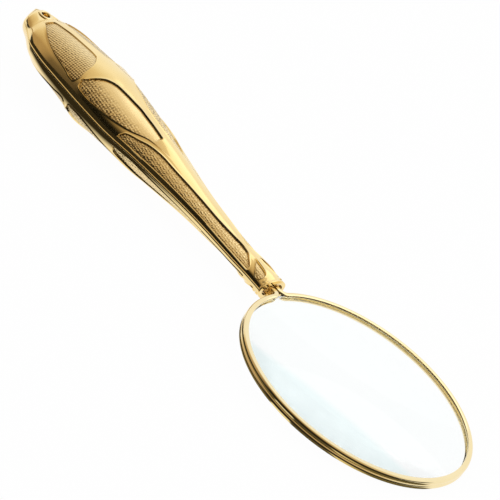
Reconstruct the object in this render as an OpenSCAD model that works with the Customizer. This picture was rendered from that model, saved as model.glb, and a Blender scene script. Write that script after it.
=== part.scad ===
// Hand magnifier: a three inch glass in an open rolled rim, whose two tails are held in the neck of a
// hollow handle made of two pressed shells. The handle lies along -X, the glass towards +X, and the
// optical axis is parallel to Z. The origin is under the middle of the part, on the surface it lies on.

/* [Glass] */
// Diameter of the glass
lens_d = 76.2; // [60:0.1:90]
// Radius of both spherical faces of the glass
lens_face_r = 260; // [150:1:400]
// Thickness of the glass at its ground edge
lens_edge_t = 1.5; // [1:0.1:2]

/* [Rim] */
// Height of the rolled rim, along the optical axis
rim_h = 3.1; // [2.6:0.1:4]
// Metal outside the groove, measured at the top of a bead
rim_wall = 0.8; // [0.7:0.05:1.5]
// How far the lips of the rim reach over the glass
rim_lip = 0.9; // [0.5:0.05:1.5]
// How far each of the two beads swells out of the rim
bead_swell = 0.4; // [0.2:0.05:0.6]
// Clearance between the glass and the groove
lens_clear = 0.1; // [0.05:0.01:0.2]
// Gap between the two tails of the rim
tail_gap = 0.7; // [0.4:0.1:1.2]
// Radius of the outer wall where the rim turns out into a tail
tail_bend_r = 1.5; // [1:0.1:2.5]
// Length of each tail inside the neck of the handle
tail_in = 9; // [6:0.5:12]

/* [Handle] */
// Length of the handle from its mouth to its tip
handle_len = 132.4; // [110:0.1:160]
// Distance from the rim to the mouth of the handle
neck_gap = 2.6; // [2.4:0.1:6]
// Width of the mouth
mouth_w = 11; // [10.5:0.1:14]
// Thickness of the mouth
mouth_t = 6.6; // [6.4:0.1:9]
// Width of the waist behind the mouth
waist_w = 10.8; // [10.5:0.1:14]
// Thickness of the waist behind the mouth
waist_t = 7.5; // [6.4:0.1:9]
// Width of the widest part
belly_w = 27.8; // [22:0.1:34]
// Thickness of the thickest part
belly_t = 20.8; // [15:0.1:24]
// Width of the tip at the hanging eyelet
tip_w = 12; // [11:0.1:15]
// Thickness of the tip before its pads are pressed flat
tip_t = 10.6; // [9.8:0.1:12]
// Thickness across the two flat pads
pad_t = 8.8; // [7.5:0.1:9.4]
// Wall of the two shells
shell_wall = 1; // [0.9:0.05:1.2]
// Gap between the two shells along the seam
seam_gap = 0.04; // [0.02:0.01:0.1]
// How far the lip of the seam stands out
seam_lip = 0.45; // [0.2:0.05:0.8]
// Height of the lip on each shell
seam_lip_h = 0.5; // [0.3:0.05:0.6]

/* [Ornament] */
// Depth of the sunk panels
panel_depth = 0.5; // [0.2:0.05:0.6]
// Height of the raised line round each panel
panel_line = 0.12; // [0.05:0.01:0.25]
// Breadth of the sloping wall round each panel
panel_slope = 0.4; // [0.2:0.05:0.6]
// Height of the bead round the mouth
mouth_bead = 0.3; // [0.1:0.05:0.5]

/* [Hanging eyelet] */
// Bore of the eyelet
eyelet_bore = 3; // [2:0.1:4]
// Wall of the eyelet's tube
eyelet_wall = 0.4; // [0.3:0.05:0.6]
// Breadth of the eyelet's rolled flange
eyelet_flange = 0.7; // [0.5:0.05:1]
// Thickness of the eyelet's rolled flange
eyelet_flange_t = 0.35; // [0.25:0.05:0.5]
// Distance from the tip to the middle of the eyelet
eyelet_inset = 4.8; // [4.6:0.1:6]

/* [Neck] */
// Depth of the plug below the mouth
plug_set = 1; // [0.5:0.1:2]
// Length of the plug
plug_len = 9; // [7:0.5:11]
// Diameter of the pin through the plug and the tails
pin_d = 1.2; // [0.8:0.1:1.4]
// Clearance between pieces that fit into each other
fit_clear = 0.1; // [0.05:0.01:0.15]
// Clearance between the handle's filling and what is round it
core_clear = 0.4; // [0.2:0.05:0.8]

/* [Hidden] */
gold = "#e6bf5e";
pale_gold = "#f0d587";
$fn = 96;
// How far a cut runs past what it goes through
past = 1;

// Rim and glass, worked out from the sizes above
glass_r = lens_d / 2;
rim_r = glass_r + lens_clear + rim_wall;
rim_in_r = glass_r - rim_lip;
function sag(r) = lens_face_r - sqrt(lens_face_r * lens_face_r - r * r);
function glass_z(r) = lens_edge_t / 2 + sag(glass_r) - sag(r);
groove_z = glass_z(rim_in_r) + lens_clear;
rim_d = rim_r - rim_in_r;

// Places in the part's frame
mouth_u = rim_r + neck_gap;
part_len = rim_r + mouth_u + handle_len;
rim_x = part_len / 2 - rim_r;
mouth_x = rim_x - mouth_u;
mid_z = belly_t / 2;

// Tails: each leaves the rim on a small bend and runs back into the neck. The metal is drawn a
// little slimmer there, and laps into the rim's end.
tail_slim = 0.04;
tail_lap = 0.15;
bend_reach = rim_r + tail_bend_r;
bend_y = tail_gap / 2 + rim_d + tail_bend_r;
bend_angle = asin(bend_y / bend_reach);
bend_u = bend_reach * cos(bend_angle);
tail_len = mouth_u + tail_in - bend_u;

// Neck
slot_y = tail_gap / 2 + rim_d + fit_clear;
slot_z = rim_h / 2 + fit_clear;
pin_u = mouth_u + plug_set + plug_len / 2;

// Smooth curve through a short list of [place, value] pairs, which never overshoots
function piece_of(t, s, i = 0) = i >= len(t) - 2 || s < t[i + 1][0] ? i : piece_of(t, s, i + 1);
function rise(t, i) = (t[i + 1][1] - t[i][1]) / (t[i + 1][0] - t[i][0]);
function slope_at(t, i) =
    i == 0 ? rise(t, 0)
    : i == len(t) - 1 ? rise(t, i - 1)
    : rise(t, i - 1) * rise(t, i) <= 0 ? 0
    : 2 * rise(t, i - 1) * rise(t, i) / (rise(t, i - 1) + rise(t, i));
function curve(t, s) =
    let (i = piece_of(t, s), h = t[i + 1][0] - t[i][0], k = (s - t[i][0]) / h)
    t[i][1] * (2 * k * k * k - 3 * k * k + 1) + slope_at(t, i) * h * (k * k * k - 2 * k * k + k)
    + t[i + 1][1] * (3 * k * k - 2 * k * k * k) + slope_at(t, i + 1) * h * (k * k * k - k * k);

// Stations are hundredths of the handle's length, from its mouth to its tip. The pads start here,
// behind a short slope.
slope_from = 93.4;
pad_from = 94.2;

// Half-width and half-thickness along the handle: mouth, waist, shoulder, belly and tip
width_line = [[0, mouth_w * 0.5], [4.5, waist_w * 0.5], [11.3, waist_w * 0.535], [21.5, waist_w * 0.57],
    [29, waist_w * 0.64], [38, waist_w * 0.78], [45.3, belly_w * 0.356], [57.4, belly_w * 0.475],
    [69.5, belly_w * 0.5], [80, belly_w * 0.496], [87.6, belly_w * 0.448], [94.4, tip_w * 0.62],
    [96.4, tip_w * 0.5], [98, tip_w * 0.42], [99.2, tip_w * 0.29], [100, tip_w * 0.12]];
thick_line = [[0, mouth_t * 0.5], [4, waist_t * 0.5], [12.4, waist_t * 0.49], [20.7, waist_t * 0.553],
    [29, waist_t * 0.653], [37.3, waist_t * 0.82], [46.4, belly_t * 0.37], [54.7, belly_t * 0.42],
    [63, belly_t * 0.476], [68.5, belly_t * 0.5], [73.5, belly_t * 0.48], [82.6, belly_t * 0.413],
    [90.2, belly_t * 0.345], [94, tip_t * 0.57], [97.4, tip_t * 0.48], [100, tip_t * 0.34]];
function half_w(s) = curve(width_line, s);
function half_t(s) = curve(thick_line, s);
// Height of the pad over the seam, and of the slope that leads to it
function pad_level(s) =
    s <= slope_from ? belly_t : s >= pad_from ? pad_t / 2
    : half_t(slope_from) + (pad_t / 2 - half_t(slope_from)) * (s - slope_from) / (pad_from - slope_from);

// Edges of the sunk panels as angles round the section, 0 at the seam and 90 on the spine.
// The long panel lies low on the flank. The neck, middle and end panels lie above it.
long_low = [[5.9, 22], [6.6, 17], [9, 15], [12, 15.5], [21.5, 14], [30, 12], [45, 10], [52.4, 12]];
long_high = [[5.9, 24], [6.4, 38], [7.8, 54], [10.2, 74], [12.7, 78], [16, 73], [21.4, 66.5], [27, 64.5],
    [32, 61], [36.4, 57], [41.2, 54], [45.6, 46], [48.1, 38], [51.5, 28], [52.4, 15]];
high_low = [[0.75, 45], [1.8, 27], [2.9, 45], [3.2, 47], [3.8, 30], [5.3, 38], [6.8, 62], [7.9, 77],
    [10.6, 81], [37.8, 70], [39.6, 66], [42.3, 62], [46.9, 53], [51.1, 38], [54.6, 31], [58.4, 25],
    [61.9, 20.5], [65, 18], [68, 18.5], [69, 21], [69.7, 32], [70.5, 33], [70.7, 25], [71.4, 20.5],
    [72.4, 20.5], [74.9, 24], [78.7, 28], [82, 32], [85.1, 37], [89, 48], [92.1, 56.5]];
high_high = [[0.75, 47], [1.8, 63], [2.9, 47], [3.2, 49], [3.8, 64], [5.3, 72], [6.8, 78], [7.9, 79],
    [10.6, 83], [37.8, 71.5], [40, 76], [43, 79.5], [46.3, 81], [51.5, 83], [55.3, 83], [58.6, 79.5],
    [61.6, 76], [63.8, 73], [66.4, 64], [68.2, 49], [69.5, 36], [70.5, 34.5], [71.1, 48], [72.2, 64],
    [73.7, 75], [75.2, 81], [77.9, 83], [84.9, 84], [87.9, 82], [91.4, 78], [91.8, 68], [92.1, 58]];
// Where the lozenges on the collar and each of the panels start and end
lozenges = [0.75, 3];
upper_panels = [[3.2, 7.9], [37.8, 69.85], [70.5, 92.1]];
long_panel = [5.9, 52.4];
lozenge_h = 0.45;
function clamped(t, s) = curve(t, min(max(s, t[0][0]), t[len(t) - 1][0]));
function within(s, r) = s > r[0] && s < r[1];
function in_upper(s) = len([for (r = upper_panels) if (within(s, r)) r]) > 0;

// Millimetres along the section for one degree, at a station and an angle
function mm_per_deg(s, a) =
    sqrt(pow(half_w(s) * sin(a), 2) + pow(half_t(s) * cos(a), 2)) * PI / 180;
// A narrow panel is shallower, so that its two walls meet in a groove
sink_from = 0.15;
function sink(s, lo, hi) =
    panel_depth * min(1, max(0, (hi - lo) * mm_per_deg(s, (lo + hi) / 2) - sink_from) / (3 * panel_slope));

// A point of the outer face: the section's outline at an angle, moved along its normal
function face_at(s, a, off) =
    let (w = half_w(s), t = half_t(s), nx = cos(a) / w, nz = sin(a) / t, l = sqrt(nx * nx + nz * nz))
    [w * cos(a) + off * nx / l, min(t * sin(a) + off * nz / l, pad_level(s))];

// The bead round the mouth and the groove behind it
bead_to = 0.35;
groove_at = 0.7;
function collar(s) =
    s < bead_to ? mouth_bead : s < groove_at ? mouth_bead * (groove_at - s) / (groove_at - bead_to) : 0;

// Quarter of the outer section, from the seam to the spine. On the tip the upper band starts at the
// edge of the pad.
lip_foot = 0.2;
last_angle = 86;
function band(s, lo, hi, floor_off, line) =
    let (d = panel_slope / mm_per_deg(s, (lo + hi) / 2), k = min(d, (hi - lo) * 0.3))
    [face_at(s, lo, line), face_at(s, lo + k, floor_off), face_at(s, (lo + hi) / 2, floor_off),
        face_at(s, hi - k, floor_off), face_at(s, hi, line)];
function quarter(s) =
    let (lip_a = asin(min(0.9, (seam_lip_h + lip_foot) / half_t(s))),
        a1 = max(clamped(long_low, s), lip_a + 2),
        a2 = max(clamped(long_high, s), a1 + 1.5),
        pad_edge = asin(min(1, pad_level(s) / half_t(s))),
        b1 = min(s > slope_from ? pad_edge : max(clamped(high_low, s), a2 + 2), last_angle),
        b2 = max(clamped(high_high, s), b1 + 1.5),
        c = collar(s),
        long_in = within(s, long_panel), up_in = in_upper(s),
        e_off = long_in ? -sink(s, a1, a2) : c,
        h_off = up_in ? -sink(s, b1, b2)
            : within(s, lozenges) ? lozenge_h * sink(s, b1, b2) / panel_depth : c)
    concat(
        [[half_w(s) + seam_lip, seam_gap / 2], [half_w(s) + seam_lip, seam_lip_h], face_at(s, lip_a, c)],
        band(s, a1, a2, e_off, long_in ? panel_line : c),
        band(s, b1, b2, h_off, up_in ? panel_line : c),
        [face_at(s, 90, c)]);
function mirrored(q) = [for (i = [len(q) - 2 : -1 : 0]) [-q[i][0], q[i][1]]];
function outer_arc(s) = let (q = quarter(s)) concat(q, mirrored(q));

// Inner section, one wall in from the plain outline
inner_angles = [0, 18, 40, 65, 90, 115, 140, 162, 180];
least_inside = 0.4;
function inner_arc(s) =
    let (w = max(half_w(s) - shell_wall, least_inside), t = max(half_t(s) - shell_wall, least_inside),
        top = pad_level(s + 100 * shell_wall / handle_len) - shell_wall)
    [for (a = inner_angles) [w * cos(a), max(min(t * sin(a), top), seam_gap / 2)]];

// Stations, closer together where a panel starts or ends
stations = concat([0, bead_to, groove_at, 1.1, 1.8, 2.5, 2.95, 3.25, 3.8, 4.5, 5.3, 5.85, 6.4, 7.2, 7.95, 9],
    [10.5, 13], [for (s = [16 : 3 : 46]) s], [48, 49.5, 50.6, 51.5, 52, 52.5, 54, 56, 58, 60.5, 63, 65.5],
    [67, 68, 68.5, 69, 69.5, 69.9, 70.4, 70.55, 71, 71.6, 72.3, 73.2, 74.5],
    [for (s = [76 : 2.2 : 89.2]) s],
    [90.5, 91.4, 91.8, 92.05, 92.15, 92.8, slope_from, 93.8, pad_from, 95.5, 97, 98, 98.6, 99.2, 99.6, 100]);
function at_station(s, p) = [mouth_x - s * handle_len / 100, p[0], mid_z + p[1]];

// One shell: outer face, inner face, seam edges, mouth edge and closed tip, all of triangles
function strip(a, b, n) =
    [for (j = [0 : n - 2]) each [[a + j, a + j + 1, b + j + 1], [a + j, b + j + 1, b + j]]];
module shell_half() {
    n = len(stations);
    no = len(outer_arc(0));
    ni = len(inner_angles);
    inner_end = (handle_len - 1.4 * shell_wall) / handle_len;
    outer_pts = [for (s = stations) each [for (p = outer_arc(s)) at_station(s, p)]];
    inner_pts = [for (s = stations) let (si = s * inner_end)
        each [for (p = inner_arc(si)) at_station(si, p)]];
    base = n * no;
    function o(i) = i * no;
    function q(i) = base + i * ni;
    skin = [for (i = [0 : n - 2]) each strip(o(i), o(i + 1), no)];
    lining = [for (i = [0 : n - 2]) each [for (f = strip(q(i), q(i + 1), ni)) [f[2], f[1], f[0]]]];
    near_edge = [for (i = [0 : n - 2]) each [[o(i), o(i + 1), q(i + 1)], [o(i), q(i + 1), q(i)]]];
    far_edge = [for (i = [0 : n - 2]) let (a = o(i) + no - 1, b = q(i) + ni - 1)
        each [[a, b, b + ni], [a, b + ni, a + no]]];
    // The mouth edge joins the many points outside to the few inside, and so does the tip's edge
    function near_in(j) = round(j * (ni - 1) / (no - 1));
    mouth_edge = [for (j = [0 : no - 2]) each concat(
        [[o(0) + j, q(0) + near_in(j), o(0) + j + 1]],
        near_in(j + 1) > near_in(j) ? [[o(0) + j + 1, q(0) + near_in(j), q(0) + near_in(j + 1)]] : [])];
    tip_out = [for (j = [1 : no - 2]) [o(n - 1), o(n - 1) + j, o(n - 1) + j + 1]];
    tip_in = [for (j = [1 : ni - 2]) [q(n - 1), q(n - 1) + j + 1, q(n - 1) + j]];
    tip_edge = [[o(n - 1), q(n - 1) + ni - 1, q(n - 1)], [o(n - 1), o(n - 1) + no - 1, q(n - 1) + ni - 1]];
    polyhedron(concat(outer_pts, inner_pts),
        concat(skin, lining, near_edge, far_edge, mouth_edge, tip_out, tip_in, tip_edge), convexity = 6);
}

eyelet_x = mouth_x - handle_len + eyelet_inset;
eyelet_r = eyelet_bore / 2 + eyelet_wall;
module eyelet_hole() {
    translate([eyelet_x, 0, -past]) cylinder(h = belly_t + 2 * past, r = eyelet_r + fit_clear);
}

module upper_shell() {
    color(gold) difference() {
        shell_half();
        eyelet_hole();
    }
}

module lower_shell() {
    color(gold) difference() {
        translate([0, 0, 2 * mid_z]) mirror([0, 0, 1]) shell_half();
        eyelet_hole();
    }
}

// Cross-section of the rim: x is the distance out from the lips, y the height
bead_h = rim_h / 2;
bead_r = (bead_h * bead_h / 4 + bead_swell * bead_swell) / (2 * bead_swell);
bead_a = asin(bead_h / 2 / bead_r);
function bead_arc(y, slim) = [for (k = [0 : 6]) let (a = -bead_a + k * bead_a / 3)
    [rim_d - bead_r + (bead_r - slim) * cos(a), y + (bead_r - slim) * sin(a)]];
function rim_outline(slim) =
    let (shoulder = rim_d - bead_swell - 0.1, depth = rim_lip + lens_clear)
    concat([[slim, slim - bead_h], [shoulder, slim - bead_h]], bead_arc(-bead_h / 2, slim),
        [for (k = [1 : 6]) bead_arc(bead_h / 2, slim)[k]],
        [[shoulder, bead_h - slim], [slim, bead_h - slim], [slim, groove_z + slim],
            [depth + slim, groove_z + slim], [depth + slim, -groove_z - slim], [slim, -groove_z - slim]]);
rim_section = [for (p = rim_outline(0)) [rim_in_r + p[0], p[1]]];
tail_section = [for (p = rim_outline(tail_slim)) [tail_bend_r + rim_d - p[0], p[1]]];

module tail() {
    lap_angle = tail_lap / (tail_bend_r + rim_d / 2) * 180 / PI;
    translate([-bend_u, bend_y, 0]) {
        rotate([0, 0, -90]) rotate_extrude(angle = 90 - bend_angle + lap_angle) polygon(tail_section);
        difference() {
            rotate([90, 0, -90]) linear_extrude(tail_len) polygon(tail_section);
            translate([bend_u - pin_u, -bend_y, 0])
                cube([pin_d + fit_clear, 2 * (slot_y + past), pin_d + fit_clear], center = true);
        }
    }
}

module lens_rim() {
    color(pale_gold) translate([rim_x, 0, mid_z]) {
        rotate([0, 0, bend_angle - 180])
            rotate_extrude(angle = 360 - 2 * bend_angle) polygon(rim_section);
        tail();
        mirror([0, 1, 0]) tail();
    }
}

module lens() {
    color("#dff1f4") translate([rim_x, 0, mid_z]) intersection() {
        translate([0, 0, glass_z(0) - lens_face_r]) sphere(r = lens_face_r, $fn = 256);
        translate([0, 0, lens_face_r - glass_z(0)]) sphere(r = lens_face_r, $fn = 256);
        translate([0, 0, -glass_z(0)]) cylinder(h = 2 * glass_z(0), r = glass_r);
    }
}

// Tube through both shells, with a rolled flange on each pad
module hanging_eyelet() {
    pad_z = pad_t / 2 + fit_clear;
    color(pale_gold) translate([eyelet_x, 0, mid_z]) rotate_extrude() polygon([
        [eyelet_bore / 2 + eyelet_flange_t, -pad_z - eyelet_flange_t],
        [eyelet_r + eyelet_flange, -pad_z - eyelet_flange_t], [eyelet_r + eyelet_flange, -pad_z],
        [eyelet_r, -pad_z], [eyelet_r, pad_z], [eyelet_r + eyelet_flange, pad_z],
        [eyelet_r + eyelet_flange, pad_z + eyelet_flange_t],
        [eyelet_bore / 2 + eyelet_flange_t, pad_z + eyelet_flange_t],
        [eyelet_bore / 2, pad_z], [eyelet_bore / 2, -pad_z]]);
}

// Oval plug that closes the neck round the two tails
plug_w = min(mouth_w, waist_w) / 2 - shell_wall - 2 * fit_clear;
plug_t = min(mouth_t, waist_t) / 2 - shell_wall - fit_clear;
module neck_plug() {
    color("#d9a877") translate([rim_x, 0, mid_z]) difference() {
        translate([-mouth_u - plug_set, 0, 0]) rotate([90, 0, -90]) linear_extrude(plug_len)
            polygon([for (a = [0 : 9 : 351]) [plug_w * cos(a), plug_t * sin(a)]]);
        translate([-mouth_u - plug_set - plug_len - past, -slot_y, -slot_z])
            cube([plug_len + 2 * past, 2 * slot_y, 2 * slot_z]);
        translate([-pin_u, -plug_w - past, 0]) rotate([-90, 0, 0])
            cylinder(h = 2 * (plug_w + past), r = pin_d / 2 + fit_clear / 2);
    }
}

// Pin across the neck, through the plug and both tails, with its ends a little below the plug's face
pin_set = 0.2;
module tail_pin() {
    color("silver") translate([rim_x - pin_u, pin_set - plug_w, mid_z]) rotate([-90, 0, 0])
        cylinder(h = 2 * (plug_w - pin_set), r = pin_d / 2);
}

// Cast filling that makes the hollow handle stiff and heavy
core_from = 100 * (plug_set + plug_len + core_clear) / handle_len;
core_to = 91;
core_sides = 12;
core_rings = 15;
module handle_core() {
    pts = [for (i = [0 : core_rings - 1])
        let (s = core_from + i * (core_to - core_from) / (core_rings - 1),
            w = half_w(s) - shell_wall - core_clear, t = half_t(s) - shell_wall - core_clear)
        each [for (j = [0 : core_sides - 1]) let (a = j * 360 / core_sides)
            at_station(s, [w * cos(a), t * sin(a)])]];
    sides = [for (i = [0 : core_rings - 2]) each [for (j = [0 : core_sides - 1])
        let (a = i * core_sides + j, b = i * core_sides + (j + 1) % core_sides)
        each [[a, b, b + core_sides], [a, b + core_sides, a + core_sides]]]];
    first = [for (j = [1 : core_sides - 2]) [0, j + 1, j]];
    far = (core_rings - 1) * core_sides;
    last = [for (j = [1 : core_sides - 2]) [far, far + j, far + j + 1]];
    color("#7a6248") polyhedron(pts, concat(sides, first, last));
}

lens();
lens_rim();
upper_shell();
lower_shell();
hanging_eyelet();
neck_plug();
tail_pin();
handle_core();
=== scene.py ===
import math
import bpy
import bmesh
import numpy as np
from mathutils import Matrix, Vector


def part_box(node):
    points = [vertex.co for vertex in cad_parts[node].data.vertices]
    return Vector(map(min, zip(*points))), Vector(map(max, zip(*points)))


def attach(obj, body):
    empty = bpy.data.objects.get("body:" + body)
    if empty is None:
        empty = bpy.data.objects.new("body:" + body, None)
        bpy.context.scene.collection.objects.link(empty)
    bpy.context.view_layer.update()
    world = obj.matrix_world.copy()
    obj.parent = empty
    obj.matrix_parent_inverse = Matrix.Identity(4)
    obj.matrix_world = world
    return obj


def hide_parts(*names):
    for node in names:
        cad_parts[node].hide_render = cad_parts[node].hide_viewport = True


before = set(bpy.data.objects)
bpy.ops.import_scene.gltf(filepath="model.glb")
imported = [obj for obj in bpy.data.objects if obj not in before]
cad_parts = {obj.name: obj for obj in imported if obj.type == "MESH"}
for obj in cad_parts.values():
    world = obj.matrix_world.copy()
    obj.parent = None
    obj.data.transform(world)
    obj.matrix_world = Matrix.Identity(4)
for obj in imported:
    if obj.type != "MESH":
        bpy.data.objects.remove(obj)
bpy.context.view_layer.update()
mm = 0.001  # all lengths below are in millimetres

# Camera: a long lens that looks down on the handle from its side, turned so that the handle runs
# from the top left corner to the glass at the bottom right
camera = {
    "place": (282.7, -467.1, 282.3),
    "lookAt": (8.32, 6.13, 10.4),
    "roll": -34.04,  # degrees
    "lens": 144,
    "sensor": 36,
    "nearest": 10,
}


def makeCamera():
    data = bpy.data.cameras.new("camera")
    data.lens = camera["lens"]
    data.sensor_width = camera["sensor"]
    data.clip_start = camera["nearest"] * mm
    obj = bpy.data.objects.new("camera", data)
    bpy.context.scene.collection.objects.link(obj)
    place = Vector(camera["place"]) * mm
    forward = (Vector(camera["lookAt"]) * mm - place).normalized()
    side = forward.cross(Vector((0, 0, 1))).normalized()
    side = Matrix.Rotation(math.radians(camera["roll"]), 4, forward) @ side
    up = side.cross(forward)
    obj.matrix_world = Matrix((
        (side.x, up.x, -forward.x, place.x),
        (side.y, up.y, -forward.y, place.y),
        (side.z, up.z, -forward.z, place.z),
        (0, 0, 0, 1)))
    bpy.context.scene.camera = obj
    bpy.context.scene.view_settings.view_transform = "Standard"


makeCamera()
print("camera done")

# Small helpers for materials
white = (1.0, 1.0, 1.0)


def newMaterial(name):
    mat = bpy.data.materials.new(name)
    mat.use_nodes = True
    mat.node_tree.nodes.clear()
    return mat, mat.node_tree.nodes, mat.node_tree.links


def setInputs(node, values):
    for name, value in values.items():
        node.inputs[name].default_value = value


def ramp(nodes, links, source, low, high, lowValue=0, highValue=1):
    # Runs from lowValue to highValue while its source runs from low to high
    node = nodes.new("ShaderNodeMapRange")
    setInputs(node, {"From Min": low, "From Max": high, "To Min": lowValue, "To Max": highValue})
    links.new(source, node.inputs["Value"])
    return node.outputs["Result"]


def noise(nodes, links, mark):
    # A mark's scale is about the number of its patches along a metre
    node = nodes.new("ShaderNodeTexNoise")
    setInputs(node, {"Scale": mark["scale"], "Detail": mark["detail"]})
    place = nodes.new("ShaderNodeTexCoord").outputs["Object"]
    links.new(place, node.inputs["Vector"])
    return node.outputs["Fac"]


def mathNode(nodes, links, operation, first, second, clamp=False):
    node = nodes.new("ShaderNodeMath")
    node.operation = operation
    node.use_clamp = clamp
    for socket, value in ((node.inputs[0], first), (node.inputs[1], second)):
        if isinstance(value, (int, float)):
            socket.default_value = value
        else:
            links.new(value, socket)
    return node.outputs[0]


def mixColours(nodes, links, share, first, second, blend="MIX"):
    node = nodes.new("ShaderNodeMix")
    node.data_type = "RGBA"
    node.blend_type = blend
    for socket, value in ((node.inputs[6], first), (node.inputs[7], second)):
        if isinstance(value, tuple):
            socket.default_value = (*value, 1)
        else:
            links.new(value, socket)
    links.new(share, node.inputs[0])
    return node.outputs[2]


def mixShaders(nodes, links, share, first, second):
    node = nodes.new("ShaderNodeMixShader")
    links.new(share, node.inputs[0])
    links.new(first, node.inputs[1])
    links.new(second, node.inputs[2])
    return node.outputs[0]


def glowOf(nodes, links, colour):
    node = nodes.new("ShaderNodeEmission")
    links.new(colour, node.inputs["Color"])
    return node.outputs[0]


def finishMaterial(nodes, links, shader):
    out = nodes.new("ShaderNodeOutputMaterial")
    links.new(shader, out.inputs["Surface"])


# Rim, plug and pin: the colour of the clean metal, the colour where it has darkened, the least and
# the most roughness, the scale of the dark patches and the height of the fine waves
polishedMetals = {
    "rimPlate": {
        "bright": (0.94, 0.80, 0.48),
        "deep": (0.82, 0.63, 0.30),
        "rough": (0.04, 0.10),
        "tarnishScale": 60,
        "waveHeight": 0.02,
        "metallic": 1.0,
    },
    "plugBrass": {
        "bright": (0.97, 0.82, 0.64),
        "deep": (0.80, 0.58, 0.40),
        "rough": (0.25, 0.40),
        "tarnishScale": 300,
        "waveHeight": 0.003,
        "metallic": 0.5,
    },
    "pinSteel": {
        "bright": (0.70, 0.70, 0.72),
        "deep": (0.45, 0.45, 0.46),
        "rough": (0.25, 0.40),
        "tarnishScale": 700,
        "waveHeight": 0.02,
        "metallic": 1.0,
    },
}
# The marks that all three have, each from a noise. Between two of its values a mark gains strength.
polish = {
    "tarnish": {"detail": 4, "between": (0.35, 0.8), "most": 0.35},
    "sheen": {"scale": 900, "detail": 3, "between": (0.3, 0.75)},
    "wave": {"scale": 350, "detail": 2, "strength": 0.15},
}


def polishedMetal(name):
    look = polishedMetals[name]
    tarnish = dict(polish["tarnish"], scale=look["tarnishScale"])
    sheen = polish["sheen"]
    wave = polish["wave"]
    mat, nodes, links = newMaterial(name)
    shader = nodes.new("ShaderNodeBsdfPrincipled")
    shader.inputs["Metallic"].default_value = look["metallic"]
    share = ramp(nodes, links, noise(nodes, links, tarnish), *tarnish["between"], 0, tarnish["most"])
    links.new(mixColours(nodes, links, share, look["bright"], look["deep"]), shader.inputs["Base Color"])
    rough = ramp(nodes, links, noise(nodes, links, sheen), *sheen["between"], *look["rough"])
    links.new(rough, shader.inputs["Roughness"])
    bump = nodes.new("ShaderNodeBump")
    setInputs(bump, {"Strength": wave["strength"], "Distance": look["waveHeight"] * mm})
    links.new(noise(nodes, links, wave), bump.inputs["Height"])
    links.new(bump.outputs["Normal"], shader.inputs["Normal"])
    finishMaterial(nodes, links, shader.outputs["BSDF"])
    return mat


# Shells: polished plate, a duller plate on the floors of the panels and brown painted into their hollows as
# shade
shellLook = {
    "plain": (0.96, 0.76, 0.37),
    "plainRough": (0.07, 0.14),
    "floor": (0.97, 0.78, 0.43),
    "floorRough": (0.18, 0.30),
    "tarnished": (0.80, 0.56, 0.23),
    # brown is painted shade, laid into the hollows of the panels and between their dots
    "brown": (0.10, 0.055, 0.02),
    "tarnish": {"scale": 60, "detail": 4, "between": (0.4, 0.8), "most": 0.4},
    "sheen": {"scale": 900, "detail": 3, "between": (0.3, 0.75)},
    "speck": {"scale": 1500, "detail": 2, "between": (0.3, 0.7), "strength": (0.55, 1.25)},
    "grain": {"scale": 2600, "detail": 2, "height": 0.06, "onPlain": 0.02, "onFloor": 0.35},
}


def meshValue(nodes, name):
    node = nodes.new("ShaderNodeAttribute")
    node.attribute_name = name
    return node.outputs["Fac"]


def shellMetal():
    tarnish, sheen, speck, grain = (shellLook[name] for name in ("tarnish", "sheen", "speck", "grain"))
    mat, nodes, links = newMaterial("giltShell")
    shader = nodes.new("ShaderNodeBsdfPrincipled")
    shader.inputs["Metallic"].default_value = 1.0
    panel = meshValue(nodes, "panelShare")
    hollow = meshValue(nodes, "paintedShadeShare")
    share = ramp(nodes, links, noise(nodes, links, tarnish), *tarnish["between"], 0, tarnish["most"])
    plainColour = mixColours(nodes, links, share, shellLook["plain"], shellLook["tarnished"])
    floorColour = mixColours(nodes, links, share, shellLook["floor"], shellLook["tarnished"])
    colour = mixColours(nodes, links, panel, plainColour, floorColour)
    # Painted shade in the hollows, brown and broken up by small specks
    uneven = ramp(nodes, links, noise(nodes, links, speck), *speck["between"], *speck["strength"])
    paintedShadeStrength = mathNode(nodes, links, "MULTIPLY", hollow, uneven, clamp=True)
    links.new(mixColours(nodes, links, paintedShadeStrength, colour, shellLook["brown"]), shader.inputs["Base Color"])
    fine = noise(nodes, links, sheen)
    rough = nodes.new("ShaderNodeMix")
    links.new(panel, rough.inputs[0])
    links.new(ramp(nodes, links, fine, *sheen["between"], *shellLook["plainRough"]), rough.inputs[2])
    links.new(ramp(nodes, links, fine, *sheen["between"], *shellLook["floorRough"]), rough.inputs[3])
    links.new(rough.outputs[0], shader.inputs["Roughness"])
    # Grain of the pressed floors
    bump = nodes.new("ShaderNodeBump")
    bump.inputs["Distance"].default_value = grain["height"] * mm
    links.new(ramp(nodes, links, panel, 0, 1, grain["onPlain"], grain["onFloor"]), bump.inputs["Strength"])
    links.new(noise(nodes, links, grain), bump.inputs["Height"])
    links.new(bump.outputs["Normal"], shader.inputs["Normal"])
    finishMaterial(nodes, links, shader.outputs["BSDF"])
    return mat


# Glass: it bends light less than real glass, whose near part would go dark in the render. A clear
# coat gives it the gloss of real glass.
glassLook = {
    "clear": (0.985, 0.998, 0.998),
    "smudged": (0.95, 0.99, 0.99),
    "bend": 1.12,
    "coat": 0.45,
    "coatBend": 1.5,
    "smudge": {"scale": 40, "detail": 5},
    "tint": {"between": (0.3, 0.8), "most": 0.6},
    "haze": {"between": (0.5, 0.9), "most": 0.02},
}


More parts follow.
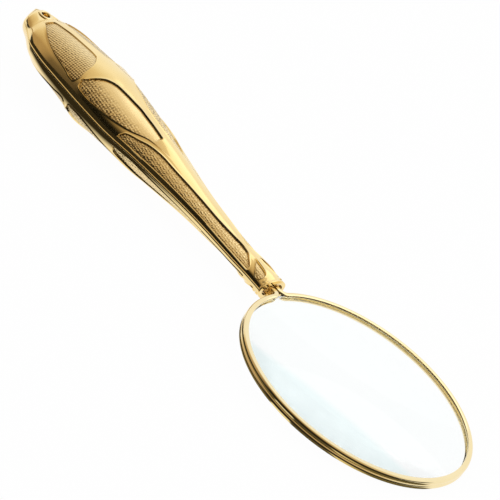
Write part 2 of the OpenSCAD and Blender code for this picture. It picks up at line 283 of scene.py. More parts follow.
def clearGlass():
    mat, nodes, links = newMaterial("clearGlass")
    shader = nodes.new("ShaderNodeBsdfPrincipled")
    setInputs(shader, {"Transmission Weight": 1.0, "IOR": glassLook["bend"],
                       "Coat Weight": glassLook["coat"], "Coat IOR": glassLook["coatBend"]})
    smudge = noise(nodes, links, glassLook["smudge"])
    tint, haze = (ramp(nodes, links, smudge, *look["between"], 0, look["most"])
                  for look in (glassLook["tint"], glassLook["haze"]))
    links.new(mixColours(nodes, links, tint, glassLook["clear"], glassLook["smudged"]),
              shader.inputs["Base Color"])
    links.new(haze, shader.inputs["Roughness"])
    finishMaterial(nodes, links, shader.outputs["BSDF"])
    return mat


# Filling: dull and grainy, out of sight inside the handle
fillingLook = {
    "dark": (0.20, 0.13, 0.08),
    "light": (0.34, 0.25, 0.17),
    "rough": (0.6, 0.85),
    "grain": {"scale": 500, "detail": 5, "between": (0.3, 0.7)},
}


def castFilling():
    mat, nodes, links = newMaterial("castFilling")
    shader = nodes.new("ShaderNodeBsdfPrincipled")
    grain = noise(nodes, links, fillingLook["grain"])
    limits = fillingLook["grain"]["between"]
    links.new(mixColours(nodes, links, ramp(nodes, links, grain, *limits), fillingLook["dark"],
                         fillingLook["light"]), shader.inputs["Base Color"])
    links.new(ramp(nodes, links, grain, *limits, *fillingLook["rough"]), shader.inputs["Roughness"])
    finishMaterial(nodes, links, shader.outputs["BSDF"])
    return mat


giltShell = shellMetal()
giltRim = polishedMetal("rimPlate")
plugBrass = polishedMetal("plugBrass")
pinSteel = polishedMetal("pinSteel")
glass = clearGlass()
filling = castFilling()
print("materials done")

# Mesh helpers


def newPiece(name, points, faces, material, replaced, sharpAngle=40):
    mesh = bpy.data.meshes.new(name)
    mesh.from_pydata([Vector(p) * mm for p in points], [], faces)
    mesh.validate()
    work = bmesh.new()
    work.from_mesh(mesh)
    bmesh.ops.recalc_face_normals(work, faces=work.faces)
    work.to_mesh(mesh)
    work.free()
    mesh.polygons.foreach_set("use_smooth", [True] * len(mesh.polygons))
    mesh.set_sharp_from_angle(angle=math.radians(sharpAngle))
    mesh.materials.append(material)
    obj = bpy.data.objects.new(name, mesh)
    bpy.context.scene.collection.objects.link(obj)
    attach(obj, "root")
    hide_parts(replaced)
    return obj


def gridFaces(rows, columns, first=0, closeColumns=False, closeRows=False):
    faces = []
    for i in range(rows if closeRows else rows - 1):
        for j in range(columns if closeColumns else columns - 1):
            row = first + i * columns
            nextRow = first + ((i + 1) % rows) * columns
            nextJ = (j + 1) % columns
            faces.append((row + j, row + nextJ, nextRow + nextJ, nextRow + j))
    return faces


def moved(points, shift):
    return [(p[0] + shift[0], p[1] + shift[1], p[2] + shift[2]) for p in points]


# Places that all pieces share, read from the solids
lensLow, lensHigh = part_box("lens")
rimLow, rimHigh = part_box("lens_rim")
shellLow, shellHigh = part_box("upper_shell")
eyeLow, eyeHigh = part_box("hanging_eyelet")
ringX = (lensLow.x + lensHigh.x) / 2 / mm
midZ = (lensLow.z + lensHigh.z) / 2 / mm
mouthX = shellHigh.x / mm
tipX = shellLow.x / mm
eyeX = (eyeLow.x + eyeHigh.x) / 2 / mm

# Glass
lensGlass = {
    "diameter": (lensHigh.x - lensLow.x) / mm,
    "edge": 1.5,
    "faceRadius": 260,
    "play": 0.02,  # in the groove of the rim
    "rings": 48,
    "turns": 256,
}


def glassHeight(r):
    face = lensGlass["faceRadius"]
    rimRadius = lensGlass["diameter"] / 2
    return lensGlass["edge"] / 2 + math.sqrt(face ** 2 - r ** 2) - math.sqrt(face ** 2 - rimRadius ** 2)


def makeLens():
    # Two curved faces, each of rings round a middle point, joined by the ground edge
    radius = lensGlass["diameter"] / 2 - lensGlass["play"]
    rings = lensGlass["rings"]
    turns = lensGlass["turns"]
    angles = [2 * math.pi * t / turns for t in range(turns)]
    points = []
    for sign in (1, -1):
        points.append((0, 0, sign * glassHeight(0)))
        for k in range(rings):
            r = radius * (k + 1) / rings
            points += [(r * math.cos(a), r * math.sin(a), sign * glassHeight(r)) for a in angles]

    def band(first, second):
        # Faces between two rings that start at these points
        return [(first + t, first + (t + 1) % turns, second + (t + 1) % turns, second + t)
                for t in range(turns)]

    side = 1 + rings * turns
    faces = []
    for middle in (0, side):
        faces += [(middle, middle + 1 + t, middle + 1 + (t + 1) % turns) for t in range(turns)]
        for k in range(rings - 1):
            ring = middle + 1 + k * turns
            faces += band(ring, ring + turns)
    outermost = 1 + (rings - 1) * turns
    faces += band(outermost, side + outermost)
    newPiece("lensGlass", moved(points, (ringX, 0, midZ)), faces, glass, "lens")


makeLens()
print("glass done")

# Rim: one rolled section swept round the glass, out on two small bends and into the neck
rim = {
    "outer": (rimHigh.y - rimLow.y) / 2 / mm,
    "height": (rimHigh.z - rimLow.z) / mm,
    "lip": 0.9,  # how far the rim reaches over the glass
    "clear": 0.1,
    "beadSwell": 0.4,
    "beadInset": 0.25,
    "edgeRound": 0.12,
    "edgeMiddle": (0.03, 0.05),  # a point halfway round that edge
    "gap": 0.7,  # between the two tails
    "bendRadius": 1.5,
    "tailEnd": rimLow.x / mm,
    "turns": 300,
    "beadSteps": 14,
    "tailSteps": 8,
    "bendSteps": 14,
    "sharpAngle": 32,
}


def rimSection():
    # Places as distances out from the lips and heights
    half = rim["height"] / 2
    lips = lensGlass["diameter"] / 2 - rim["lip"]
    depth = rim["outer"] - lips
    swell = rim["beadSwell"]
    ballRadius = (half * half / 4 + swell * swell) / (2 * swell)
    reach = math.asin(half / 2 / ballRadius)
    groove = glassHeight(lips) + rim["clear"]
    inner = rim["lip"] + rim["clear"]
    flatEnd = depth - swell - rim["beadInset"]
    edge = rim["edgeRound"]
    out, drop = rim["edgeMiddle"]
    section = [(edge, -half), (flatEnd, -half)]
    for centre in (-half / 2, half / 2):
        for k in range(rim["beadSteps"] + 1):
            a = -reach + 2 * reach * k / rim["beadSteps"]
            section.append((depth - ballRadius + ballRadius * math.cos(a),
                            centre + ballRadius * math.sin(a)))
    section += [(flatEnd, half), (edge, half), (out, half - drop), (0, half - edge)]
    section += [(0, groove), (inner, groove), (inner, -groove), (0, -groove)]
    section += [(0, edge - half), (out, drop - half)]
    return section


def rimPath():
    # Places on the line of the lips, with the direction that faces away from them
    lips = lensGlass["diameter"] / 2 - rim["lip"]
    depth = rim["outer"] - lips
    bendReach = rim["bendRadius"] + depth
    bendY = rim["gap"] / 2 + bendReach
    bendAngle = math.asin(bendY / (rim["outer"] + rim["bendRadius"]))
    bendX = -(rim["outer"] + rim["bendRadius"]) * math.cos(bendAngle)
    tailX = rim["tailEnd"] - ringX
    half = []
    for k in range(rim["tailSteps"]):
        half.append((tailX + (bendX - tailX) * k / rim["tailSteps"], rim["gap"] / 2, 0, 1))
    for k in range(rim["bendSteps"] + 1):
        a = -math.pi / 2 + (math.pi / 2 - bendAngle) * k / rim["bendSteps"]
        half.append((bendX + bendReach * math.cos(a), bendY + bendReach * math.sin(a),
                     -math.cos(a), -math.sin(a)))
    path = list(half)
    first = math.pi - bendAngle
    for k in range(1, rim["turns"]):
        a = first - 2 * first * k / rim["turns"]
        path.append((lips * math.cos(a), lips * math.sin(a), math.cos(a), math.sin(a)))
    path += [(x, -y, nx, -ny) for x, y, nx, ny in reversed(half)]
    return path


def makeRim():
    section = rimSection()
    path = rimPath()
    points = []
    for x, y, nx, ny in path:
        points += [(x + nx * out, y + ny * out, height) for out, height in section]
    faces = gridFaces(len(path), len(section), closeColumns=True)
    last = (len(path) - 1) * len(section)
    faces.append(tuple(range(len(section))))
    faces.append(tuple(range(last + len(section) - 1, last - 1, -1)))
    newPiece("rolledRim", moved(points, (ringX, 0, midZ)), faces, giltRim, "lens_rim",
             rim["sharpAngle"])


makeRim()
print("rim done")

# Handle shells. Stations, s, run in hundredths from the mouth to the tip, and angles in degrees
# from the seam (0) to the spine (90).
shell = {
    "length": mouthX - tipX,
    "mouth": (11.0, 6.6),  # width and thickness
    "waist": (10.8, 7.5),
    "belly": (27.8, (shellHigh.z / mm - midZ) * 2),
    "tip": (12.0, 10.6),
    "pad": 8.8,  # between the flat pads of the two shells
    "padSlope": (93.4, 94.2),  # stations of the slope that leads down to the pad
    "padCorner": 0.9,
    "wall": 1.0,
    "endWall": 1.4,  # at the tip, in walls
    "leastHollow": 0.4,
    "mouthBead": 0.3,
    "mouthBeadEnd": (0.35, 0.7),  # stations between which the bead comes down to the face
    "lozenge": 0.3,
    "step": 0.15,  # between two rows of points
    "innerRows": 80,
    "innerColumns": 17,
    "sharpAngle": 50,
}
# Lip along the seam: an upright edge and a narrow top. The top's points are given as shares of the
# lip and as how far they lie under its foot.
seam = {
    "gap": 0.02,
    "lip": 0.28,
    "runOut": 9.0,
    "edge": 0.1,
    "foot": 0.32,
    "clear": 0.09,
    "top": ((1, 0.14), (0.95, 0.10), (0.85, 0.08), (0.5, 0.05), (0.1, 0.01), (0, -0.03)),
}
# Sunk panels, the raised lines round them and the brown shade painted into them
panels = {
    "depth": 0.55,
    "floorFrom": (0.1, 0.4),  # depths between which the plain plate turns into a panel's floor
    "wallWidth": 0.32,
    "wallShare": 0.3,  # the most of a panel's width that one wall takes
    "wallSteps": 6,
    "narrowest": 0.15,
    "fullFrom": 3,  # a panel this many walls wide has its full depth
    "line": 0.15,
    "lineFrom": 0.15,  # the depth at which the line has its full height
    "lineFade": 0.25,
    "lowLine": 1.8,  # how many times as high the line is at a panel's lower edge
    # painted brown shade down the walls and on the floor along their feet
    "wallShade": 0.8,
    "wallShadeFrom": (0.4, 0.95),  # down the wall
    "footShade": 0.7,
    "footFade": 0.18,
    "apart": 2,  # degrees between two panels
    "least": 1.5,  # degrees across a panel
    "topmost": 86,  # the highest angle for a lower edge
    "longLowShare": 0.55,  # share of the depth that a panel has at this edge
    "endHighShare": 0.6,
    "middleLowFrom": (40, 47),  # stations between which it gains its depth at this edge
    "middleHighFrom": (46, 46.6),
    "columns": {"flank": 8, "long": 34, "between": 10, "high": 48, "spine": 7},
}
# Stations where each panel starts and ends
longPanel = (5.9, 52.4)
leafPanel = (1.9, 7.6)
middlePanel = (37.8, 69.85)
endPanel = (70.5, 92.1)
lozengeSpan = (0.85, 1.75)
# Raised dots of each panel: pitch, height, how far they stray from their rows, how much brown shade is
# painted in their hollows, and the share of all this that is left high up, worn down between two angles
dots = {
    "long": {"span": longPanel, "pitch": 0.86, "height": 0.19, "stray": 0.42, "brown": 0.15,
             "left": 0.6, "worn": (48, 72)},
    "leaf": {"span": leafPanel, "pitch": 0.90, "height": 0.12, "stray": 0.35, "brown": 0.60,
             "left": 0.3, "worn": (48, 72)},
    "middle": {"span": middlePanel, "pitch": 1.0, "height": 0.20, "stray": 0.30, "brown": 0.75,
               "left": 0.05, "worn": (40, 60)},
    "end": {"span": endPanel, "pitch": 0.88, "height": 0.13, "stray": 0.03, "brown": 1.0,
            "left": 0.55, "worn": (48, 72)},
}
paintedShadeFade = (0.05, 0.5)  # shares of a dot's height between which the painted shade of the hollows ends
stationLength = shell["length"] / 100
slopeFrom, padFrom = shell["padSlope"]
mouthW, mouthT = shell["mouth"]
waistW, waistT = shell["waist"]
bellyW, bellyT = shell["belly"]
tipW, tipT = shell["tip"]
# Half the width and half the thickness by stations
widthLine = [(0, mouthW * 0.5), (4.5, waistW * 0.5), (11.3, waistW * 0.535), (21.5, waistW * 0.57),
             (29, waistW * 0.64), (38, waistW * 0.78), (45.3, bellyW * 0.356), (57.4, bellyW * 0.475),
             (69.5, bellyW * 0.5), (80, bellyW * 0.496), (87.6, bellyW * 0.448), (94.4, tipW * 0.66),
             (96.4, tipW * 0.555), (98, tipW * 0.455), (99.2, tipW * 0.30), (100, tipW * 0.12)]
thickLine = [(0, mouthT * 0.5), (4, waistT * 0.5), (12.4, waistT * 0.49), (20.7, waistT * 0.553),
             (29, waistT * 0.653), (37.3, waistT * 0.82), (46.4, bellyT * 0.37), (54.7, bellyT * 0.42),
             (63, bellyT * 0.476), (68.5, bellyT * 0.5), (73.5, bellyT * 0.48), (82.6, bellyT * 0.413),
             (90.2, bellyT * 0.340), (94, tipT * 0.54), (97.4, tipT * 0.46), (100, tipT * 0.33)]
# Edges of the panels as angles by stations: the long panel's two, then those of the lozenge and of
# the three panels above, from the leaf by the mouth to the end panel
longLow = [(5.9, 22), (6.6, 20), (9, 21), (12, 22), (21.5, 22), (30, 20), (40, 15.5), (47, 12), (52.4, 12)]
longHigh = [(5.9, 24), (6.4, 38), (7.8, 54), (10.2, 74), (12.7, 78), (16, 73), (21.4, 66.5), (27, 64.5),
            (32, 61), (36.4, 57), (41.2, 54), (45.6, 46), (48.1, 38), (51.5, 28), (52.4, 15)]
highLow = [(0.85, 45), (1.25, 33), (1.75, 45), (1.9, 47), (2.5, 25), (4.2, 36), (6.3, 62), (7.6, 77),
           (10.6, 81), (37.8, 70), (39.6, 66), (42.3, 62), (46.9, 53), (51.1, 38), (54.6, 31), (58.4, 25),
           (61.9, 20.5), (65, 18), (68, 18.5), (69, 21), (69.7, 32), (70.5, 33), (70.7, 25), (71.4, 20.5),
           (72.4, 20.5), (74.9, 24), (78.7, 28), (82, 32), (85.1, 37), (89, 48), (92.1, 56.5)]
highHigh = [(0.85, 47), (1.25, 59), (1.75, 47), (1.9, 49), (2.5, 66), (4.2, 75), (6.3, 79), (7.6, 80),
            (10.6, 83), (37.8, 71.5), (40, 76), (43, 79.5), (46.3, 81), (51.5, 83), (55.3, 83), (58.6, 79.5),
            (61.6, 76), (63.8, 73), (66.4, 64), (68.2, 49), (69.5, 36), (70.5, 34.5), (71.1, 48), (72.2, 64),
            (73.7, 75), (75.2, 81), (77.9, 83), (84.9, 84), (87.9, 82), (91.4, 78), (91.8, 68), (92.1, 58)]


def smoothCurve(table, s):
    # Smooth curve through [place, value] pairs that never overshoots
    xs = np.array([p[0] for p in table], float)
    ys = np.array([p[1] for p in table], float)
    rise = np.diff(ys) / np.diff(xs)
    slopes = np.empty(len(xs))
    slopes[0] = rise[0]
    slopes[-1] = rise[-1]
    product = rise[:-1] * rise[1:]
    total = np.where(product > 0, rise[:-1] + rise[1:], 1)
    slopes[1:-1] = np.where(product > 0, 2 * product / total, 0)
    s = np.clip(s, xs[0], xs[-1])
    i = np.clip(np.searchsorted(xs, s, side="right") - 1, 0, len(xs) - 2)
    h = xs[i + 1] - xs[i]
    k = (s - xs[i]) / h
    return (ys[i] * (2 * k ** 3 - 3 * k ** 2 + 1) + slopes[i] * h * (k ** 3 - 2 * k ** 2 + k)
            + ys[i + 1] * (3 * k ** 2 - 2 * k ** 3) + slopes[i + 1] * h * (k ** 3 - k ** 2))


def easeStep(v, low, high):
    k = np.clip((v - low) / (high - low), 0, 1)
    return k * k * (3 - 2 * k)


def within(s, span):
    return (s > span[0]) & (s < span[1])


def padLevel(s):
    # Height of the flat pad over the seam, and of the slope that leads to it
    pad = shell["pad"] / 2
    before = smoothCurve(thickLine, slopeFrom)
    slope = before + (pad - before) * np.clip((s - slopeFrom) / (padFrom - slopeFrom), 0, 1)
    return np.where(s <= slopeFrom, bellyT, slope)


def cornerLoss(s, radius):
    # How far a round corner of this radius draws in at the end of the tip
    depth = np.clip(radius - (100 - s) * stationLength, 0, radius)
    return radius - np.sqrt(radius ** 2 - depth ** 2)


def facePoint(s, angle, off):
    # A point of the outer face at a station and an angle, moved along its normal
    w = smoothCurve(widthLine, s)
    t = smoothCurve(thickLine, s)
    a = np.radians(angle)
    nx = np.cos(a) / w
    nz = np.sin(a) / t
    size = np.sqrt(nx * nx + nz * nz)
    ceiling = padLevel(s) - cornerLoss(s, shell["padCorner"])
    return w * np.cos(a) + off * nx / size, np.minimum(t * np.sin(a) + off * nz / size, ceiling)


def lineOf(sink):
    # Height of the raised line round a panel of this depth
    return panels["line"] * np.clip(sink / panels["lineFrom"], 0, 1)


def shellQuarter(s):
    # Angle, offset, panel share and painted shade share of each column of one quarter of the outer face,
    # from the seam to the spine, at every station, and which columns cross the long panel
    w = smoothCurve(widthLine, s)
    t = smoothCurve(thickLine, s)
    none = 0 * s
    whole = none + 1
    beadEnd, beadFoot = shell["mouthBeadEnd"]
    bead = shell["mouthBead"] * np.clip((beadFoot - s) / (beadFoot - beadEnd), 0, 1)
    columns = []

    def mmPerDegree(angle):
        a = np.radians(angle)
        return np.sqrt((w * np.sin(a)) ** 2 + (t * np.cos(a)) ** 2) * math.pi / 180

    def sinkOf(low, high):
        width = (high - low) * mmPerDegree((low + high) / 2) - panels["narrowest"]
        return panels["depth"] * np.clip(width / (panels["fullFrom"] * panels["wallWidth"]), 0, 1)

    def add(angle, off, share=none, brown=none):
        columns.append((angle, bead + off, share, brown))

    def plain(low, high, count, lowLine, highLine):
        # The plain face between two edges, each with its raised line
        for k in range(1, count):
            angle = low + (high - low) * k / count
            gapLow = (angle - low) * mmPerDegree(angle)
            gapHigh = (high - angle) * mmPerDegree(angle)
            add(angle, lowLine * np.exp(-(gapLow / panels["lineFade"]) ** 2)
                + panels["lowLine"] * highLine * np.exp(-(gapHigh / panels["lineFade"]) ** 2))

    def panel(low, high, sink, rise, count, fadeLow, fadeHigh):
        # A wall, a floor and a wall. A fade is the share of the depth that an edge has.
        middle = mmPerDegree((low + high) / 2)
        slope = np.minimum(panels["wallWidth"] / middle, (high - low) * panels["wallShare"])
        floorWidth = high - low - 2 * slope
        deep = np.clip(sink / panels["depth"], 0, 1)

        # The walls and the floor along their feet carry painted brown shade
        def wall(top, foot, f, line, fade):
            # f is 0 at the top of the wall and 1 at its foot
            add(top + (foot - top) * f, line * fade * (1 - f) + (rise - sink * fade) * easeStep(f, 0, 1),
                none, panels["wallShade"] * deep * fade * easeStep(f, *panels["wallShadeFrom"]))

        steps = panels["wallSteps"]
        for k in range(steps):
            wall(low, low + slope, k / steps, panels["lowLine"] * lineOf(sink), fadeLow)
        for k in range(count + 1):
            f = k / count
            depth = sink * (fadeLow + (fadeHigh - fadeLow) * f)
            gap = np.minimum(f, 1 - f) * floorWidth * middle
            foot = np.where(f < 0.5, fadeLow, fadeHigh) * np.exp(-(gap / panels["footFade"]) ** 2)
            add(low + slope + floorWidth * f, rise - depth, easeStep(depth, *panels["floorFrom"]),
                panels["footShade"] * deep * foot)
        for k in reversed(range(steps)):
            wall(high, high - slope, k / steps, lineOf(sink), fadeHigh)

    # Edges of the long panel and of the panels above it, and how deep each is
    lipA = np.degrees(np.arcsin((seam["foot"] + seam["clear"]) / t))
    a1 = np.maximum(smoothCurve(longLow, s), lipA + panels["apart"])
    a2 = np.maximum(smoothCurve(longHigh, s), a1 + panels["least"])
    padEdge = np.degrees(np.arcsin(np.minimum(1, padLevel(s) / t)))
    b1 = np.maximum(smoothCurve(highLow, s), a2 + panels["apart"])
    b1 = np.minimum(np.where(s > slopeFrom, padEdge, b1), panels["topmost"])
    b2 = np.maximum(smoothCurve(highHigh, s), b1 + panels["least"])
    onLeaf, onMiddle, onEnd = (within(s, span) for span in (leafPanel, middlePanel, endPanel))
    longSink = np.where(within(s, longPanel), sinkOf(a1, a2), 0)
    highSink = np.where(onLeaf | onMiddle | onEnd, sinkOf(b1, b2), 0)
    lozengeShare = np.where(within(s, lozengeSpan), sinkOf(b1, b2) / panels["depth"], 0)
    # The middle panel comes up to the plain face towards the neck
    fadeLow = np.where(onMiddle, easeStep(s, *panels["middleLowFrom"]), 1)
    fadeHigh = np.where(onMiddle, easeStep(s, *panels["middleHighFrom"]), 1)
    fadeHigh = np.where(onEnd, panels["endHighShare"], fadeHigh)

    count = panels["columns"]
    add(lipA, none)
    plain(lipA, a1, count["flank"], none, lineOf(longSink))
    longFirst = len(columns)
    panel(a1, a2, longSink, none, count["long"], panels["longLowShare"] * whole, whole)
    longColumns = slice(longFirst, len(columns))
    plain(a2, b1, count["between"], lineOf(longSink), lineOf(highSink) * fadeLow)
    panel(b1, b2, highSink, shell["lozenge"] * lozengeShare, count["high"], fadeLow, fadeHigh)
    plain(b2, 90 * whole, count["spine"], lineOf(highSink) * fadeHigh, none)
    add(90 * whole, none)
    return columns, longColumns


def ripple(u, v):
    # A slow irregular wave between -1 and 1, the mean of a few long ones
    return (np.sin(1.7 * u + 2.3 * v) + np.sin(2.9 * u - 1.3 * v + 1.1) + np.sin(3.1 * v - 0.8 * u + 2.0)
            + np.sin(4.1 * u + 0.7 * v + 0.4)) / 4


def dotWave(along, across, look):
    # Rows of round dots, 0 in the hollows and 1 on the crests, which ripples push out of line
    u = along / look["pitch"]
    v = across / look["pitch"]
    du = look["stray"] * ripple(2 * u, 2 * v)
    dv = look["stray"] * ripple(2 * v + 5, 2 * u)
    wave = np.abs(np.sin(math.pi * (u + du)) * np.sin(math.pi * (v + dv)))
    return np.clip(wave * (1 + 1.5 * look["stray"] * ripple(1.9 * u + 3, 1.7 * v)), 0, 1)


def seamLip(s, w):
    # From the seam up. The lip ends at the tip.
    lip = seam["lip"] * easeStep((100 - s) * stationLength, 0, seam["runOut"])
    low = seam["gap"] / 2
    heights = [(1, low), (1, low + seam["edge"])]
    heights += [(share, seam["foot"] - under) for share, under in seam["top"]]
    return [(w + share * lip, height + 0 * s) for share, height in heights]


def shellSide(s, far):
    # One side of the outer face. The side away from the camera is less worn, so its dots are whole
    # up to the spine.
    columns, longColumns = shellQuarter(s)
    angle, off, share, brown = (np.stack(grid, axis=1) for grid in zip(*columns))
    rows = s[:, None] + 0 * angle
    y, z = facePoint(rows, angle, 0)
    across = np.zeros(angle.shape)
    across[:, 1:] = np.cumsum(np.hypot(np.diff(y, axis=1), np.diff(z, axis=1)), axis=1)
    across -= across[:, -1:]
    isLong = np.zeros(angle.shape, bool)
    isLong[:, longColumns] = True
    wave = np.zeros(angle.shape)
    height = np.zeros(angle.shape)
    dotShade = np.zeros(angle.shape)
    for name, look in dots.items():
        place = within(rows, look["span"]) & (isLong if name == "long" else ~isLong)
        left = 1 if far else look["left"]
        keep = 1 - (1 - left) * easeStep(angle, *look["worn"])
        wave = np.where(place, dotWave(rows * stationLength, across, look), wave)
        height = np.where(place, look["height"] * keep, height)
        dotShade = np.where(place, look["brown"] * keep, dotShade)
    y, z = facePoint(rows, angle, off + share * height * wave)
    # painted shade: brown on the walls, along their feet and in the hollows between the dots
    hollow = np.clip(brown + share * dotShade * (1 - easeStep(wave, *paintedShadeFade)), 0, 1)
    lipY, lipZ = (np.stack(grid, axis=1) for grid in zip(*seamLip(s, smoothCurve(widthLine, s))))
    return {"y": np.hstack([lipY, y]), "z": np.hstack([lipZ, z]),
            "panelShare": np.hstack([0 * lipY, share]), "paintedShadeShare": np.hstack([0 * lipY, hollow])}


def outerFace(s, up):
    # From the far seam over the spine to the near seam, with what the material needs to know
    far = shellSide(s, True)
    near = shellSide(s, False)
    near["y"] = -near["y"]
    full = {name: np.hstack([far[name], near[name][:, -2::-1]]) for name in far}
    x = mouthX - s[:, None] * stationLength + 0 * full["y"]
    return np.stack([x, full["y"], midZ + up * full["z"]], axis=2), full


def innerFace(up):
    # The hollow, a wall inside the outer face without its panels
    wallShare = shell["wall"] / stationLength
    s = np.linspace(0, 100 - shell["endWall"] * wallShare, shell["innerRows"])[:, None]
    a = np.radians(np.linspace(0, 180, shell["innerColumns"]))[None, :]
    w, t = (np.maximum(smoothCurve(line, s) - shell["wall"], shell["leastHollow"])
            for line in (widthLine, thickLine))
    y = w * np.cos(a)
    ceiling = padLevel(s + wallShare) - cornerLoss(s, shell["padCorner"]) - shell["wall"]
    z = np.maximum(np.minimum(t * np.sin(a), ceiling), seam["gap"] / 2)
    return np.stack([mouthX - s * stationLength + 0 * y, y, midZ + up * z], axis=2)


def stitch(first, second):
    # Triangles between two lines of points that hold different counts
    faces = []
    i = j = 0
    while i < len(first) - 1 or j < len(second) - 1:
        nextI = (i + 1) / (len(first) - 1)
        nextJ = (j + 1) / (len(second) - 1)
        if j >= len(second) - 1 or (i < len(first) - 1 and nextI <= nextJ):
            faces.append((first[i], first[i + 1], second[j]))
            i += 1
        else:
            faces.append((first[i], second[j + 1], second[j]))
            j += 1
    return faces


def borders(first, rows, columns):
    # The points along both seams, at the mouth and at the tip of a grid
    numbers = first + np.arange(rows * columns).reshape(rows, columns)
    return [line.tolist() for line in (numbers[:, 0], numbers[:, -1], numbers[0], numbers[-1])]


def makeShell(name, node, up):
    s = np.linspace(0, 100, round(shell["length"] / shell["step"]))
    outer, full = outerFace(s, up)
    inner = innerFace(up)
    points = np.concatenate([outer.reshape(-1, 3), inner.reshape(-1, 3)])
    base = outer.shape[0] * outer.shape[1]
    faces = gridFaces(*outer.shape[:2]) + gridFaces(*inner.shape[:2], base)
    *outerLines, outerTip = borders(0, *outer.shape[:2])
    *innerLines, innerTip = borders(base, *inner.shape[:2])
    for outerLine, innerLine in zip(outerLines, innerLines):
        faces += stitch(outerLine, innerLine)
    faces.append(tuple(outerTip))
    faces.append(tuple(innerTip))
    faces.append((outerTip[0], outerTip[-1], innerTip[-1], innerTip[0]))
    obj = newPiece(name, points.tolist(), faces, giltShell, node, shell["sharpAngle"])
    for share in ("panelShare", "paintedShadeShare"):
        attribute = obj.data.attributes.new(share, "FLOAT", "POINT")
        values = np.zeros(len(points), np.float32)
        values[:base] = full[share].reshape(-1)
        attribute.data.foreach_set("value", values)
    return obj


upperShell = makeShell("upperShell", "upper_shell", 1)
lowerShell = makeShell("lowerShell", "lower_shell", -1)
print("shells done")

# Eyelet: a tube with a rolled flange on each pad
eyelet = {
    "bore": 1.5,  # radii
    "tube": 1.9,
    "flange": 2.6,
    "flangeThick": 0.35,
    "clear": 0.1,
    "rollSteps": 10,
    "turns": 96,
    "drillLength": 40,
}


def makeEyelet():
    pad = shell["pad"] / 2 + eyelet["clear"]
    reach = (eyelet["flange"] - eyelet["bore"]) / 2
    middle = (eyelet["flange"] + eyelet["bore"]) / 2
    roll = []
    for k in range(eyelet["rollSteps"] + 1):
        a = math.pi * k / eyelet["rollSteps"]
        roll.append((middle - reach * math.cos(a), pad + eyelet["flangeThick"] * math.sin(a)))
    outline = roll + [(eyelet["tube"], pad), (eyelet["tube"], -pad)]
    outline += [(r, -z) for r, z in reversed(roll)]
    points = []
    for i in range(eyelet["turns"]):
        angle = 2 * math.pi * i / eyelet["turns"]
        points += [(r * math.cos(angle), r * math.sin(angle), z) for r, z in outline]
    faces = gridFaces(eyelet["turns"], len(outline), closeColumns=True, closeRows=True)
    newPiece("hangingEyelet", moved(points, (eyeX, 0, midZ)), faces, giltRim, "hanging_eyelet")


def drillForEyelet(obj):
    drill = bpy.data.meshes.new("drill")
    work = bmesh.new()
    radius = (eyelet["tube"] + eyelet["clear"]) * mm
    bmesh.ops.create_cone(work, cap_ends=True, segments=eyelet["turns"], radius1=radius, radius2=radius,
                          depth=eyelet["drillLength"] * mm,
                          matrix=Matrix.Translation((eyeX * mm, 0, midZ * mm)))
    work.to_mesh(drill)
    work.free()
    cutter = bpy.data.objects.new("drill", drill)
    bpy.context.scene.collection.objects.link(cutter)
    change = obj.modifiers.new("drill", "BOOLEAN")
    change.operation = "DIFFERENCE"
    change.solver = "EXACT"
    change.object = cutter
    bpy.context.view_layer.update()
    drilled = bpy.data.meshes.new_from_object(obj.evaluated_get(bpy.context.evaluated_depsgraph_get()))
    obj.modifiers.clear()
    obj.data = drilled
    bpy.data.objects.remove(cutter)


for half in (upperShell, lowerShell):
    drillForEyelet(half)
makeEyelet()
print("eyelet done")

# Pieces whose solids stay as they are
for node, material in (("neck_plug", plugBrass), ("tail_pin", pinSteel), ("handle_core", filling)):
    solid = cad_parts[node]
    solid.data.materials.clear()
    solid.data.materials.append(material)

# Studio: a pale floor that the belly and the glass rest on, one soft lamp and a white surround. For the
# metal these carry painted reflections: dark sides of the surround and tones on the floor in front, which
# the camera and the glass don't see.
studio = {
    "floorSize": 3000,
    "floorRest": ((-62.8, 0.03), (80.5, 7.14)),  # places along x and heights that the floor touches
    "floorTones": ((0.92, 0.92, 0.92), (0.95, 0.95, 0.95)),
    "floorPatches": {"scale": 30, "detail": 3, "between": (0.2, 0.8)},
    "floorGlow": 0.97,
    # painted pale blue shade, which the floor shows only through the glass
    "glassShadeBlue": (0.89, 0.97, 0.975),
    "glassShadeEdge": (-27.5, -30.5),  # along y, where the floor seen through the glass turns blue
    "glassShadeLean": 0.22,  # that edge runs across the glass at a slope
    "skyLight": 0.86,
    "lampPlace": (-160, 960, 1360),
    "lampSize": 1400,
    "lampPower": 1.7,
}
# Painted reflections, which only the metal mirrors. An edge gives the two places that its tones change
# between.
mirror = {
    "whiteFloor": (1.0, 0.98, 0.95),
    "handleEdge": (-11, -17),  # along y: the floor is white under the handle and behind it
    "glassEdge": (95, 99),  # along x: past the glass the tones in front begin nearer to the middle
    "glassSide": (-3, -6),
    "rimEdge": (42.5, 45.0),  # distances from the middle of the glass
    "darkSide": (0.030, 0.025, 0.016),
    "beyondTip": (0.46, 0.34, 0.20),
    "beyondTipEdge": (-0.50, -0.80),  # the surround's edges are parts of a direction of length 1
    "beyondGlassEdge": (0.72, 0.78),
    "beyondGlassTop": (0.35, 0.42),
}
# Painted reflections of the floor in front, by places along x
paintedFrontReflections = (
    (15, (0.026, 0.022, 0.016)),
    (36, (0.30, 0.26, 0.12)),
    (65, (0.16, 0.13, 0.06)),
    (66, (0.92, 0.86, 0.66)),
    (74, (0.92, 0.86, 0.66)),
    (75, (0.10, 0.085, 0.045)),
    (89, (0.12, 0.10, 0.05)),
    (90.5, (0.85, 0.76, 0.50)),
    (96, (0.50, 0.42, 0.22)),
    (99, (0.14, 0.12, 0.05)),
    (120, (0.16, 0.13, 0.06)),
)
